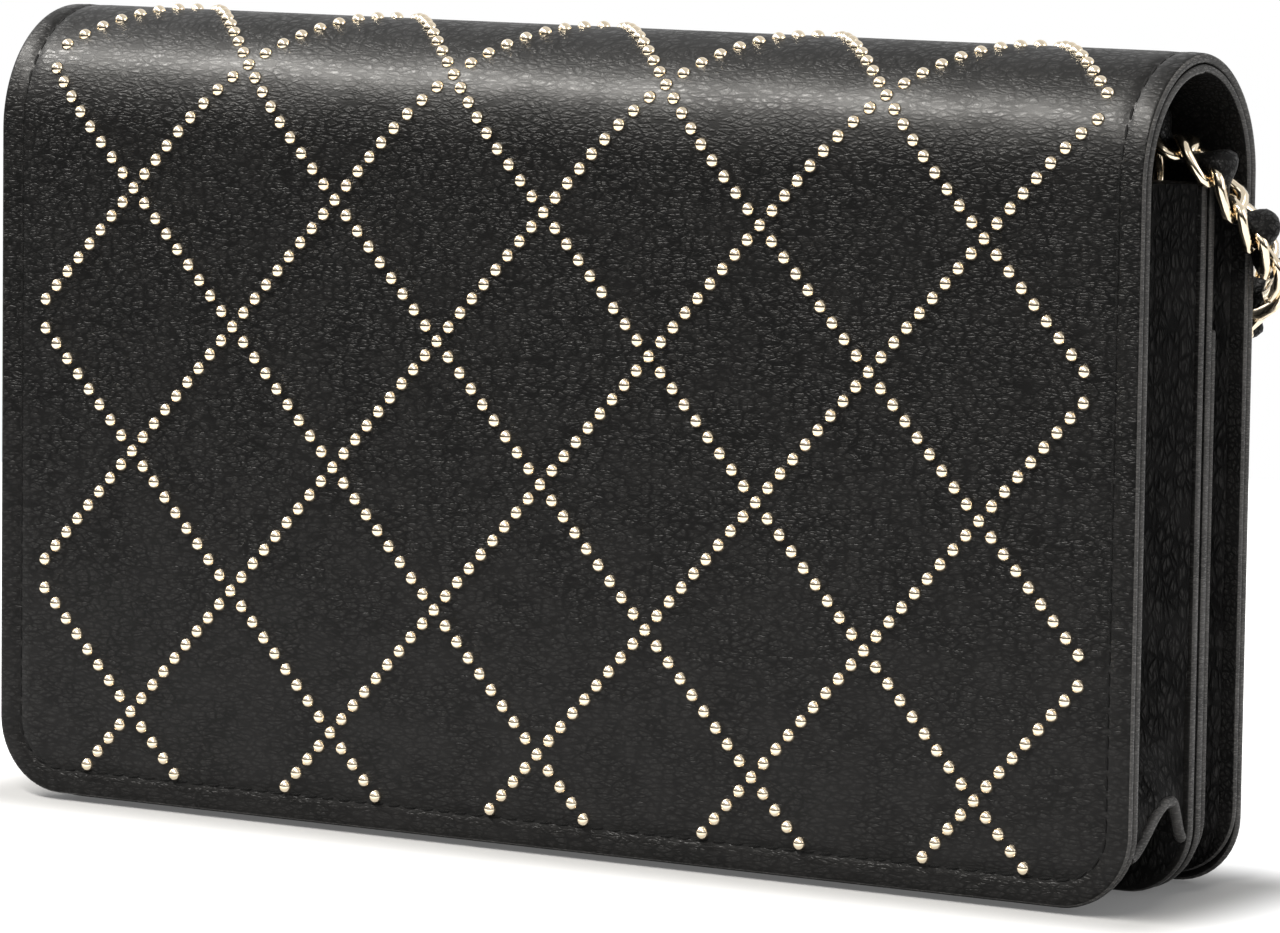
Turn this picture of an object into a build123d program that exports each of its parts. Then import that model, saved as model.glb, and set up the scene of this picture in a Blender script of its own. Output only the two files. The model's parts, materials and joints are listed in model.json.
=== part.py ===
"""Chain wallet: a flap wallet in grained leather with a studded lattice and a chain shoulder strap.

Millimetres. +X is the wearer's left to right, the front of the flap faces -Y, +Z is up.
The origin is under the middle of the wallet, at the height of the surface it stands on.
"""
from build123d import *
import math
import os

# ---------------------------------------------------------------- driving dimensions
WIDTH = 192.0            # flap, edge to edge
HEIGHT = 119.0           # floor to the top of the folded flap
DEPTH = 36.0             # front of the flap to the back panel
LEATHER = 1.4            # outer leather of the flap
LINING = 1.4             # inner leather of the flap
BODY_LEATHER = 1.4       # front panel's outer leather
BODY_LINING = 0.8
FLAP_CORNER = 11.0       # corner radius at the flap's lower edge
PANEL_CORNER = 10.0      # corner radius under the inner panels
FLAP_GAP = 1.0           # flap's lower edge above the floor


FOLD_RADIUS = DEPTH / 2                  # outer radius of the rolled top
FOLD_Z = HEIGHT - FOLD_RADIUS            # axis of the rolled top
LINING_OUT = FOLD_RADIUS - LEATHER       # where the flap's two leathers meet
LINING_IN = LINING_OUT - LINING
HALF = WIDTH / 2
PANEL_HALF = HALF - 2.0                  # half width of the panels inside the flap
PANEL_TOP = FOLD_Z - 0.4                 # top of the divider and the gussets
FRONT_TOP = FOLD_Z - 2.5                 # top of the front panel

# layers from front to back, as the y of each layer's front face
FRONT_PANEL_Y = -LINING_IN + 0.4
FRONT_LINING_Y = FRONT_PANEL_Y + BODY_LEATHER
FRONT_ROOM_Y = FRONT_LINING_Y + BODY_LINING
DIVIDER_Y = 4.2
DIVIDER_PLY = 1.6
DIVIDER_BOARD = 0.8
DIVIDER_BACK_Y = DIVIDER_Y + 2 * DIVIDER_PLY + DIVIDER_BOARD
SLIP_PLY = 1.2
REAR_ROOM_Y = DIVIDER_BACK_Y + SLIP_PLY
BACK_LINING = 0.8
BACK_PLY = 1.8
BACK_Y = FOLD_RADIUS
BACK_LINING_Y = BACK_Y - BACK_PLY - BACK_LINING
REAR_POCKET_PLY = 1.2
REAR_POCKET_TOP = 78.0

GUSSET_PLY = 1.0
GUSSET_FOLD = 8.0        # how far the front gusset folds in
REAR_GUSSET_FOLD = 5.0
GUSSET_BOTTOM = 7.0
GUSSET_HALF = PANEL_HALF - 1.0

CARD_PLY = 0.8
CARD_TOP = 90.0          # top of the card slots' backing
CARD_STEP = 10.0         # each slot is this much lower than the one behind it
CARD_BOTTOM = 14.0
CARD_HALF = 84.0
CARD_GAP = 3.0           # half of the gap between the two columns

STUD_RADIUS = 1.05
STUD_HEIGHT = 0.85
STUD_STEPS = 9           # stud steps from one crossing to the next
LATTICE_HALF_WIDTH = 17.9
LATTICE_HALF_HEIGHT = 19.63
LATTICE_ROW_Z = 93.2     # height of the row of crossings just under the rolled top
LATTICE_COLUMNS = 5      # half diamonds on each side of the middle
LATTICE_ROWS_ABOVE = 2
LATTICE_ROWS_BELOW = 4
STUDS_PAST_LAST = 4
STUD_STEP_UP = LATTICE_HALF_HEIGHT / STUD_STEPS
# the flap bends along a line midway between two rows of studs, so that none stands on the bend
BEND_ALONG = LATTICE_ROW_Z + LATTICE_HALF_HEIGHT - STUD_STEP_UP / 2
FOLD_ANGLE = math.degrees((BEND_ALONG - FOLD_Z) / FOLD_RADIUS)   # degrees above level

ZIP_ANGLE = 15.0         # degrees above level, inside the rolled top
ZIP_HALF = 68.0
ZIP_WINDOW = 7.0
TOOTH_PITCH = 1.6
SLIDER_X = -60.0         # the zip is closed: its slider is at this end
BAG_TOP, BAG_BOTTOM, BAG_HALF, BAG_PLY = 99.0, 14.0, 74.0, 0.4

SNAP_Z = 24.0
SNAP_POST_RADIUS = 1.9
SNAP_HOLE_RADIUS = 2.7
SNAP_RADIUS = 6.0

EYELET_X, EYELET_Z = 83.0, 95.4
EYELET_HOLE, EYELET_TUBE, EYELET_FLANGE, EYELET_PLATE = 2.9, 3.5, 5.0, 0.6
RING_RADIUS, RING_WIRE = 6.0, 0.9

STRAP = 9.0              # outer diameter of the chain with its leather lace
# the strap's middle line, from the ring at each end; the rest is laid in a coil behind the wallet
RIGHT_STRAND = [
    (84.6, 5.9, 107.6), (91.5, 4.6, 108.8), (98.8, 5.0, 105.6), (100.4, 10.5, 98.0),
    (100.6, 18.0, 92.8), (98.4, 24.6, 86.5), (93.2, 25.4, 79.5), (87.0, 24.8, 66.0),
    (85.5, 24.6, 45.0), (84.0, 25.1, 26.0), (72.0, 27.2, 7.6), (54.6, 29.0, 4.62),
]
LEFT_STRAND = [
    (-84.6, 5.9, 107.6), (-91.5, 4.6, 108.8), (-98.8, 5.0, 105.6), (-100.4, 10.5, 98.0),
    (-100.9, 18.0, 92.6), (-100.5, 25.0, 85.0), (-101.8, 27.6, 70.0), (-104.8, 29.6, 53.0),
    (-105.2, 31.5, 38.4), (-99.4, 33.5, 27.4), (-88.6, 35.6, 21.0), (-83.2, 36.6, 20.8),
]
COIL_RIGHT_X, COIL_LEFT_X = 30.0, -52.0  # centres of the coil's two rounded ends
COIL_Y = 63.0
COIL_RADIUS = 34.0       # middle line of the outermost turn
COIL_TURNS = 2
COIL_INSET = 4.0         # each turn lies this much inside the one below it
COIL_RISE = 8.1


# ---------------------------------------------------------------- shapes used again and again
def slab(x0, x1, y0, y1, z0, z1):
    """Box between two corners."""
    return Pos((x0 + x1) / 2, (y0 + y1) / 2, (z0 + z1) / 2) * Box(x1 - x0, y1 - y0, z1 - z0)


def panel(half, bottom, top, y_front, ply, corner):
    """Upright sheet facing -Y with rounded lower corners."""
    plane = Plane.XZ.offset(-(y_front + ply))
    outline = Pos(0, (bottom + top) / 2) * Rectangle(2 * half, top - bottom)
    outline = fillet(outline.vertices().sort_by(Axis.Y)[:2], corner)
    return extrude(plane * outline, amount=ply)


def on_roll(radius, angle):
    """Point of the rolled top: 0 degrees is the front, 90 the top, 180 the back."""
    turn = math.radians(angle)
    return (0, -radius * math.cos(turn), FOLD_Z + radius * math.sin(turn))


def roll(r_in, r_out, start, end, half):
    """Band of the rolled top between two angles."""
    middle = (start + end) / 2
    edges = [
        ThreePointArc(on_roll(r_out, start), on_roll(r_out, middle), on_roll(r_out, end)),
        Line(on_roll(r_out, end), on_roll(r_in, end)),
        ThreePointArc(on_roll(r_in, end), on_roll(r_in, middle), on_roll(r_in, start)),
        Line(on_roll(r_in, start), on_roll(r_out, start)),
    ]
    return Pos(-half, 0, 0) * extrude(make_face(edges), amount=2 * half, dir=(1, 0, 0))


def y_cylinder(x, z, radius, y0, y1):
    """Round bar along Y."""
    return Pos(x, (y0 + y1) / 2, z) * Rot(90, 0, 0) * Cylinder(radius, y1 - y0)


def mirrored(shape):
    """Same piece on the other side of the wallet."""
    return mirror(shape, about=Plane.YZ)


# ---------------------------------------------------------------- back, divider and pockets
def make_back():
    upper = 180.0 - FOLD_ANGLE
    outer = panel(PANEL_HALF + 0.5, 0, FOLD_Z, BACK_Y - BACK_PLY, BACK_PLY, PANEL_CORNER)
    outer += roll(LINING_OUT, FOLD_RADIUS, upper, 180.0, HALF)
    lining = panel(PANEL_HALF, 1.4, FOLD_Z, BACK_LINING_Y, BACK_LINING, PANEL_CORNER)
    lining += roll(LINING_OUT - BACK_LINING, LINING_OUT, upper, 180.0, HALF)
    pocket = panel(PANEL_HALF - 1.0, 1.0, REAR_POCKET_TOP, BACK_Y, REAR_POCKET_PLY, PANEL_CORNER)
    return {"back_panel": outer, "back_lining": lining - outer, "rear_pocket": pocket}


def make_divider():
    y = DIVIDER_Y
    board_y = y + DIVIDER_PLY
    rear_y = board_y + DIVIDER_BOARD
    pieces = {
        "divider_front": panel(PANEL_HALF, 0, PANEL_TOP, y, DIVIDER_PLY, PANEL_CORNER),
        "divider_board": panel(PANEL_HALF - 2, 2, PANEL_TOP - 2, board_y, DIVIDER_BOARD, PANEL_CORNER),
        "divider_rear": panel(PANEL_HALF, 0, PANEL_TOP, rear_y, DIVIDER_PLY, PANEL_CORNER),
    }
    for side in (-1, 1):
        hole = y_cylinder(side * EYELET_X, EYELET_Z, EYELET_TUBE, y - 1, DIVIDER_BACK_Y + 1)
        for name in pieces:
            pieces[name] -= hole
    pieces["divider_slip_pocket"] = panel(PANEL_HALF, 1, 80, DIVIDER_BACK_Y, SLIP_PLY, PANEL_CORNER)
    return pieces


def make_card_slots():
    """Two columns of three slots on the front of the divider, each on its own leather strip."""
    backing_y = DIVIDER_Y - CARD_PLY
    pieces = {"card_backing": slab(-CARD_HALF, CARD_HALF, backing_y, DIVIDER_Y, CARD_BOTTOM, CARD_TOP)}
    for side, x0 in (("left", -CARD_HALF), ("right", CARD_GAP)):
        for number in range(1, 4):
            y = backing_y - number * CARD_PLY
            top = CARD_TOP - number * CARD_STEP
            x1 = x0 + CARD_HALF - CARD_GAP
            pieces[f"card_slot_{side}_{number}"] = slab(x0, x1, y, y + CARD_PLY, CARD_BOTTOM, top)
    return pieces


def gusset(y0, y1, fold, ply, top):
    """Side wall that folds in on itself in a V."""
    middle = (y0 + y1) / 2
    inner = GUSSET_HALF - fold
    outline = Polyline(
        (GUSSET_HALF, y0), (inner, middle), (GUSSET_HALF, y1), (GUSSET_HALF - 1.6 * ply, y1),
        (inner - 1.4 * ply, middle), (GUSSET_HALF - 1.6 * ply, y0), close=True)
    return Pos(0, 0, GUSSET_BOTTOM) * extrude(make_face(outline), amount=top - GUSSET_BOTTOM)


def make_gussets():
    front = gusset(FRONT_ROOM_Y, DIVIDER_Y, GUSSET_FOLD, GUSSET_PLY, PANEL_TOP)
    rear = gusset(REAR_ROOM_Y, BACK_LINING_Y, REAR_GUSSET_FOLD, GUSSET_PLY, PANEL_TOP)
    floor_half = GUSSET_HALF - PANEL_CORNER
    return {
        "gusset_front_right": front, "gusset_front_left": mirrored(front),
        "gusset_rear_right": rear, "gusset_rear_left": mirrored(rear),
        "floor_front": slab(-floor_half, floor_half, FRONT_ROOM_Y + 0.5, DIVIDER_Y, 0, 1.4),
        "floor_rear": slab(-floor_half, floor_half, REAR_ROOM_Y, BACK_LINING_Y, 1.4, 2.8),
    }


def make_eyelets():
    y0, y1 = DIVIDER_Y, DIVIDER_BACK_Y
    barrel = y_cylinder(EYELET_X, EYELET_Z, EYELET_TUBE, y0 - EYELET_PLATE, y1 + EYELET_PLATE)
    for y in (y0 - EYELET_PLATE, y1):
        barrel += y_cylinder(EYELET_X, EYELET_Z, EYELET_FLANGE, y, y + EYELET_PLATE)
    barrel -= y_cylinder(EYELET_X, EYELET_Z, EYELET_HOLE, y0 - 2, y1 + 2)
    middle = (y0 + y1) / 2
    ring = Pos(EYELET_X, middle, EYELET_Z + RING_RADIUS) * Rot(0, 90, 0) * Torus(RING_RADIUS, RING_WIRE)
    return {
        "eyelet_right": barrel, "eyelet_left": mirrored(barrel),
        "strap_ring_right": ring, "strap_ring_left": mirrored(ring),
    }


# ---------------------------------------------------------------- front panel and snap fastener
def make_front():
    outer = panel(PANEL_HALF - 0.5, 0.3, FRONT_TOP, FRONT_PANEL_Y, BODY_LEATHER, PANEL_CORNER)
    lining = panel(PANEL_HALF - 0.5, 0.3, FRONT_TOP, FRONT_LINING_Y, BODY_LINING, PANEL_CORNER)
    cut = y_cylinder(0, SNAP_Z, SNAP_RADIUS, FRONT_PANEL_Y - 1, FRONT_ROOM_Y + 1)
    socket = y_cylinder(0, SNAP_Z, SNAP_RADIUS, FRONT_PANEL_Y, FRONT_ROOM_Y + 0.4)
    socket -= y_cylinder(0, SNAP_Z, SNAP_HOLE_RADIUS, FRONT_PANEL_Y - 1, FRONT_ROOM_Y)
    return {"front_panel": outer - cut, "front_lining": lining - cut, "snap_socket": socket}


def make_snap_post():
    foot = y_cylinder(0, SNAP_Z, 4.5, -LINING_IN - 0.9, -LINING_IN)
    post = y_cylinder(0, SNAP_Z, SNAP_POST_RADIUS, -LINING_IN, FRONT_LINING_Y + 0.2)
    tip = Pos(0, FRONT_LINING_Y + 0.2, SNAP_Z) * Sphere(SNAP_POST_RADIUS)
    tip &= y_cylinder(0, SNAP_Z, SNAP_POST_RADIUS, FRONT_LINING_Y, FRONT_ROOM_Y - 0.3)
    return foot, foot + post + tip


# ---------------------------------------------------------------- flap
def zip_plane():
    """Frame of the zip: x along the zip, z towards the inside of the rolled top."""
    turn = math.radians(ZIP_ANGLE)
    return Plane(origin=on_roll(LINING_IN, ZIP_ANGLE), x_dir=(1, 0, 0),
                 z_dir=(0, math.cos(turn), -math.sin(turn)))


def make_flap():
    top = 180.0 - FOLD_ANGLE
    outer = panel(HALF, FLAP_GAP, FOLD_Z, -FOLD_RADIUS, LEATHER, FLAP_CORNER)
    outer += roll(LINING_OUT, FOLD_RADIUS, 0, FOLD_ANGLE, HALF)
    lining = panel(HALF, FLAP_GAP, FOLD_Z, -LINING_OUT, LINING, FLAP_CORNER)
    lining += roll(LINING_IN, LINING_OUT, 0, FOLD_ANGLE, HALF)
    bag = slab(-BAG_HALF, BAG_HALF, -LINING_OUT, -LINING_OUT + BAG_PLY, BAG_BOTTOM, BAG_TOP)
    window = zip_plane() * Box(2 * ZIP_HALF + 4, ZIP_WINDOW, 2 * LINING + 1.4)
    snap_foot, snap_post = make_snap_post()
    lining = lining - bag - snap_foot - (window - outer)
    return {
        "flap_outer": outer, "flap_lining": lining, "zip_pocket_bag": bag, "snap_post": snap_post,
        "flap_top_outer": roll(LINING_OUT, FOLD_RADIUS, FOLD_ANGLE, top, HALF),
        "flap_top_lining": roll(LINING_IN, LINING_OUT, FOLD_ANGLE, top, HALF),
    }


def lattice_studs():
    """Every stud as (across, up): millimetres from the middle, and height along the leather."""
    step_x = LATTICE_HALF_WIDTH / STUD_STEPS
    last = LATTICE_COLUMNS * STUD_STEPS
    first_row = -LATTICE_ROWS_ABOVE * STUD_STEPS
    last_row = LATTICE_ROWS_BELOW * STUD_STEPS + STUDS_PAST_LAST
    studs = []
    for row in range(first_row, last_row + 1):
        for column in range(1 - last, last):
            falling = (column + last - row) % (2 * STUD_STEPS) == STUD_STEPS
            rising = (column + last + row) % (2 * STUD_STEPS) == STUD_STEPS
            if falling or rising:
                studs.append((column * step_x, LATTICE_ROW_Z - row * STUD_STEP_UP))
    return studs


def make_studs():
    dome = Pos(0, 0, STUD_HEIGHT - STUD_RADIUS) * Sphere(STUD_RADIUS)
    dome &= Pos(0, 0, STUD_HEIGHT / 2) * Box(3 * STUD_RADIUS, 3 * STUD_RADIUS, STUD_HEIGHT)
    on_front, on_top = [], []
    for x, along in lattice_studs():
        past = max(0.0, along - FOLD_Z)
        angle = math.degrees(past / FOLD_RADIUS)
        base = Vector(*on_roll(FOLD_RADIUS, angle)) + Vector(x, 0, min(0.0, along - FOLD_Z))
        turn = math.radians(angle)
        face = Plane(origin=base, x_dir=(1, 0, 0), z_dir=(0, -math.cos(turn), math.sin(turn)))
        (on_front if angle < FOLD_ANGLE else on_top).append(dome.moved(face.location))
    print("studs:", len(on_front), "on the front,", len(on_top), "on the rolled top")
    return {"flap_studs": Compound(children=on_front), "flap_top_studs": Compound(children=on_top)}


def make_zip():
    plane = zip_plane()
    tape = Pos(0, 0, -0.7) * Box(2 * ZIP_HALF, ZIP_WINDOW - 0.2, 0.5)
    teeth = []
    for row in (-1, 1):
        count = int((2 * ZIP_HALF - 8) / TOOTH_PITCH)
        for number in range(count):
            x = -ZIP_HALF + 4 + (number + 0.25 + 0.25 * row) * TOOTH_PITCH
            teeth.append(Pos(x, 0.75 * row, -0.05) * Box(0.7, 1.4, 0.8))
    stops = [Pos(side * (ZIP_HALF - 2.2), 0, 0.0) * Box(1.6, 3.4, 0.9) for side in (-1, 1)]
    x = SLIDER_X
    slider = fillet((Pos(x, 0, 1.3) * Box(8, 5, 1.4)).edges().filter_by(Axis.Z), 1.6)
    for side in (-1, 1):
        slider += Pos(x, side * 2.1, 0.4) * Box(5, 0.7, 0.9)
        slider += Pos(x, side * 2.05, 3.1) * Box(2.0, 0.7, 2.6)
    pin = Pos(x, 0, 3.6) * Rot(90, 0, 0) * Cylinder(0.45, 4.4)
    eye = Pos(x, 0, 3.6) * Rot(90, 0, 0) * Cylinder(1.25, 3.0)
    pull = eye + Pos(x + 8.5, 0, 3.6) * Box(15, 3.0, 0.9)
    pull += Pos(x + 16, 0, 3.6) * Cylinder(2.6, 0.9)
    pull -= Pos(x, 0, 3.6) * Rot(90, 0, 0) * Cylinder(0.6, 6)
    pull -= Pos(x + 16.3, 0, 3.6) * Cylinder(1.1, 3)
    return {
        "zip_tape": plane * tape,
        "zip_teeth": Compound(children=[plane * tooth for tooth in teeth]),
        "zip_stops": Compound(children=[plane * stop for stop in stops]),
        "zip_slider": plane * (slider + pin),
        "zip_puller": plane * pull,
    }


# ---------------------------------------------------------------- strap
def strand(points, name):
    """Tube along straight runs joined by arcs as large as the runs allow."""
    corners = [Vector(*point) for point in points]
    radii = []
    for before, here, after in zip(corners, corners[1:], corners[2:]):
        half_turn = math.radians((here - before).get_angle(after - here) / 2)
        shorter = min((here - before).length, (after - here).length)
        radii.append(0.45 * shorter / math.tan(half_turn))
    path = FilletPolyline(*corners, radius=radii)
    start = Plane(origin=path @ 0, z_dir=path % 0)
    tube = sweep(start * Circle(STRAP / 2), path=path)
    section = math.pi * STRAP ** 2 / 4
    print(name, "length", round(path.length, 1), "radii", [round(radius, 1) for radius in radii],
          "volume ratio", round(tube.volume / (section * path.length), 4))
    return tube, path.length


def coil_length():
    """Length of the coil's middle line, with the last run along the front."""
    total = 0.0
    straight = COIL_RIGHT_X - COIL_LEFT_X
    for turn in range(COIL_TURNS):
        radius = COIL_RADIUS - (turn + 0.5) * COIL_INSET
        total += math.hypot(2 * straight + 2 * math.pi * radius, COIL_RISE)
    return total + straight


def make_strap():
    right, right_length = strand(RIGHT_STRAND, "right strand")
    left, left_length = strand(LEFT_STRAND, "left strand")
    straight = COIL_RIGHT_X - COIL_LEFT_X
    outer = COIL_RADIUS + STRAP / 2 + 0.1
    inner = COIL_RADIUS - COIL_TURNS * COIL_INSET - STRAP / 2 - 0.1
    ring = SlotCenterToCenter(straight, 2 * outer) - SlotCenterToCenter(straight, 2 * inner)
    top = 4.6 + COIL_TURNS * COIL_RISE + STRAP / 2
    middle_x = (COIL_RIGHT_X + COIL_LEFT_X) / 2
    coil = Pos(middle_x, COIL_Y, 0.05) * extrude(ring, amount=top)
    print("strap length about", round(right_length + left_length + coil_length() + 55, 1))
    return {"strap_right": right, "strap_left": left, "strap_coil": coil}


# ---------------------------------------------------------------- all pieces
def main():
    nodes = {}
    for make in (make_back, make_divider, make_card_slots, make_gussets, make_eyelets,
                 make_front, make_flap, make_studs, make_zip, make_strap):
        nodes.update(make())
    os.makedirs("parts", exist_ok=True)
    for name, shape in nodes.items():
        export_step(shape, f"parts/{name}.step")
    print(len(nodes), "nodes")


main()
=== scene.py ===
# %% [markdown]
# A chain wallet, closed and standing on its lower edge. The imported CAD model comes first, as a frame
# that nothing here may move. Every soft or shiny surface is then built over it: leather, thread, studs,
# bellows and the strap. Sizes are in metres, and places are read from the frame.

# %% Load the frame and keep its box
import json
import math

import bmesh
import bpy
from mathutils import Matrix, Vector, noise

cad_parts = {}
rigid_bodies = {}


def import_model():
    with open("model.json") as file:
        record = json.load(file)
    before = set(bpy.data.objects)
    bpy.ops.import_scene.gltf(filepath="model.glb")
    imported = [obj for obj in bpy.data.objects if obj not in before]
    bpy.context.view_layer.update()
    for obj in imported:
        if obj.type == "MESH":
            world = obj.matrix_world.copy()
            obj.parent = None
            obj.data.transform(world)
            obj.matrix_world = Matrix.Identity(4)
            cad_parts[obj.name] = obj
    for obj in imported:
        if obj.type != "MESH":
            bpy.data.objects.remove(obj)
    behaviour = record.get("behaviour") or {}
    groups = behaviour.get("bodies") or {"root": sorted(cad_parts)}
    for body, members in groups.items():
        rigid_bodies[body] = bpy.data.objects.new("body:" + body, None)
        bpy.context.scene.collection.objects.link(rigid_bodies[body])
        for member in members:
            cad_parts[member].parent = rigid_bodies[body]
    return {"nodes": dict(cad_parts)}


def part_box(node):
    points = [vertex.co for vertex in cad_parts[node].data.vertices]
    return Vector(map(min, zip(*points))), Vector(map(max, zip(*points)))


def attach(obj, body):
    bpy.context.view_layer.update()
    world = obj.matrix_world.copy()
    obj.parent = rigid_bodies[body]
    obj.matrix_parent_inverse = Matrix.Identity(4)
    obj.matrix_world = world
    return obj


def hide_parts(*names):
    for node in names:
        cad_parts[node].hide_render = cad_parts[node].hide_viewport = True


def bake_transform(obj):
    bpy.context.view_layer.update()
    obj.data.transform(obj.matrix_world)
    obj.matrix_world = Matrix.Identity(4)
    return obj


for leftover in list(bpy.data.objects):
    bpy.data.objects.remove(leftover)
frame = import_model()
bpy.context.view_layer.update()
MM = 0.001

# %% Places that the frame gives
flap_low, flap_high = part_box("flap_outer")
HALF = flap_high.x                       # half of the flap's width
FACE_Y = flap_low.y                      # front face of the flap
ROLL = -FACE_Y                           # outer radius of the rolled top
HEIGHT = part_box("flap_top_outer")[1].z
AXIS_Z = HEIGHT - ROLL                   # axis of the rolled top
FLAP_BOTTOM = flap_low.z
OUTER_PLY = 1.4 * MM                     # outer leather
LINING_PLY = 1.4 * MM                    # the leather inside it
GAP = 0.02 * MM                          # between the two
CORNER = 11 * MM                         # flap's lower corners
PANEL_CORNER = 10 * MM                   # corners of the panels inside
print("flap", round(HALF * 2000), "mm wide,", round(HEIGHT * 1000), "mm high")

# %% [markdown]
# The camera stands to the right of the front and a little above the wallet, far enough away for a long
# lens, so that upright edges stay almost parallel. It is turned in three steps: down, round and a
# slight roll, as a hand-levelled tripod has.

# %% Camera
CAMERA_AT = Vector((0.5294, -0.8725, 0.1695))
TURN, DIP, CANT = 31.05, 6.40, 0.78      # degrees round, down and of roll
camera = bpy.data.objects.new("camera", bpy.data.cameras.new("camera"))
bpy.context.scene.collection.objects.link(camera)
camera.data.lens = 197.8
camera.data.shift_x = 0.0077
camera.data.clip_start, camera.data.clip_end = 0.05, 20
turned = Matrix.Rotation(math.radians(TURN), 4, "Z") @ Matrix.Rotation(math.radians(90 - DIP), 4, "X")
camera.matrix_world = Matrix.Translation(CAMERA_AT) @ turned @ Matrix.Rotation(math.radians(CANT), 4, "Z")
bpy.context.scene.camera = camera
print("camera", [round(v, 3) for v in camera.location])

# %% [markdown]
# Shader maths reads best as ordinary arithmetic. Signal wraps one socket, and + - * ** on it add Math
# nodes. Finish is one material: its node() method adds any other node, with its settings first and then
# the values or links of its sockets.

# %% Signals and finishes
class Signal:
    def __init__(self, finish, socket):
        self.finish = finish
        self.socket = socket

    def math(self, operation, first, second=None, clamp=False):
        inputs = {0: first} if second is None else {0: first, 1: second}
        return self.finish.node("ShaderNodeMath", {"operation": operation, "use_clamp": clamp}, inputs)

    def __add__(self, other):
        return self.math("ADD", self, other)

    def __radd__(self, other):
        return self.math("ADD", other, self)

    def __sub__(self, other):
        return self.math("SUBTRACT", self, other)

    def __rsub__(self, other):
        return self.math("SUBTRACT", other, self)

    def __mul__(self, other):
        return self.math("MULTIPLY", self, other)

    def __rmul__(self, other):
        return self.math("MULTIPLY", other, self)

    def __pow__(self, other):
        return self.math("POWER", self, other)

    def clamped(self):
        return self.math("ADD", self, 0.0, clamp=True)

    def step(self, low, high):
        """0 below low, 1 above high, smooth between."""
        return self.finish.node("ShaderNodeMapRange", {"interpolation_type": "SMOOTHSTEP"},
                                {"Value": self, "From Min": low, "From Max": high})


class Finish:
    def __init__(self, name):
        self.material = bpy.data.materials.new(name)
        self.material.use_nodes = True
        self.tree = self.material.node_tree
        self.tree.nodes.clear()
        self.shader = self.tree.nodes.new("ShaderNodeBsdfPrincipled")
        output = self.tree.nodes.new("ShaderNodeOutputMaterial")
        self.tree.links.new(self.shader.outputs[0], output.inputs["Surface"])

    def node(self, kind, settings=None, inputs=None, output=0):
        made = self.tree.nodes.new(kind)
        for key, value in (settings or {}).items():
            setattr(made, key, value)
        for key, value in (inputs or {}).items():
            self.feed(made.inputs[key], value)
        return Signal(self, made.outputs[output])

    def feed(self, socket, value):
        if isinstance(value, Signal):
            self.tree.links.new(value.socket, socket)
        else:
            socket.default_value = value

    def place(self, across=1.0, deep=1.0, up=1.0):
        """Object coordinates in millimetres, divided by a grain length in each direction."""
        spot = self.node("ShaderNodeTexCoord", output="Object")
        scale = (1 / (across * MM), 1 / (deep * MM), 1 / (up * MM))
        return self.node("ShaderNodeVectorMath", {"operation": "MULTIPLY"}, {0: spot, 1: scale})

    def noise(self, place, scale=1.0, detail=2.0, rough=0.5):
        return self.node("ShaderNodeTexNoise", None,
                         {"Vector": place, "Scale": scale, "Detail": detail, "Roughness": rough})

    def warped(self, place, amount, scale=1.0):
        """The same place pushed about by a soft noise, so that lines wander."""
        push = self.node("ShaderNodeTexNoise", None, {"Vector": place, "Scale": scale, "Detail": 1.0}, "Color")
        centred = self.node("ShaderNodeVectorMath", {"operation": "SUBTRACT"}, {0: push, 1: (0.5, 0.5, 0.5)})
        moved = self.node("ShaderNodeVectorMath", {"operation": "SCALE"}, {0: centred, "Scale": amount})
        return self.node("ShaderNodeVectorMath", {"operation": "ADD"}, {0: place, 1: moved})

    def cells(self, place):
        """Distance to the nearest crack between cells."""
        return self.node("ShaderNodeTexVoronoi", {"feature": "DISTANCE_TO_EDGE"},
                         {"Vector": place, "Scale": 1.0})

    def mix(self, factor, first, second):
        made = self.tree.nodes.new("ShaderNodeMix")
        made.data_type = "RGBA"
        for index, value in ((0, factor), (6, first), (7, second)):
            self.feed(made.inputs[index], value)
        return Signal(self, made.outputs[2])

    def up(self):
        """Height in metres."""
        spot = self.node("ShaderNodeTexCoord", output="Object")
        return self.node("ShaderNodeSeparateXYZ", None, {0: spot}, "Z")

    def relief(self, height, depth, strength=1.0, under=None):
        inputs = {"Height": height, "Distance": depth, "Strength": strength}
        if under is not None:
            inputs["Normal"] = under
        return self.node("ShaderNodeBump", None, inputs)

    def set(self, **values):
        for name, value in values.items():
            self.feed(self.shader.inputs[name.replace("_", " ")], value)
        return self.material


def grey(value, warm=0.0):
    return (value * (1 + warm), value, value * (1 - warm), 1.0)
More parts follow.
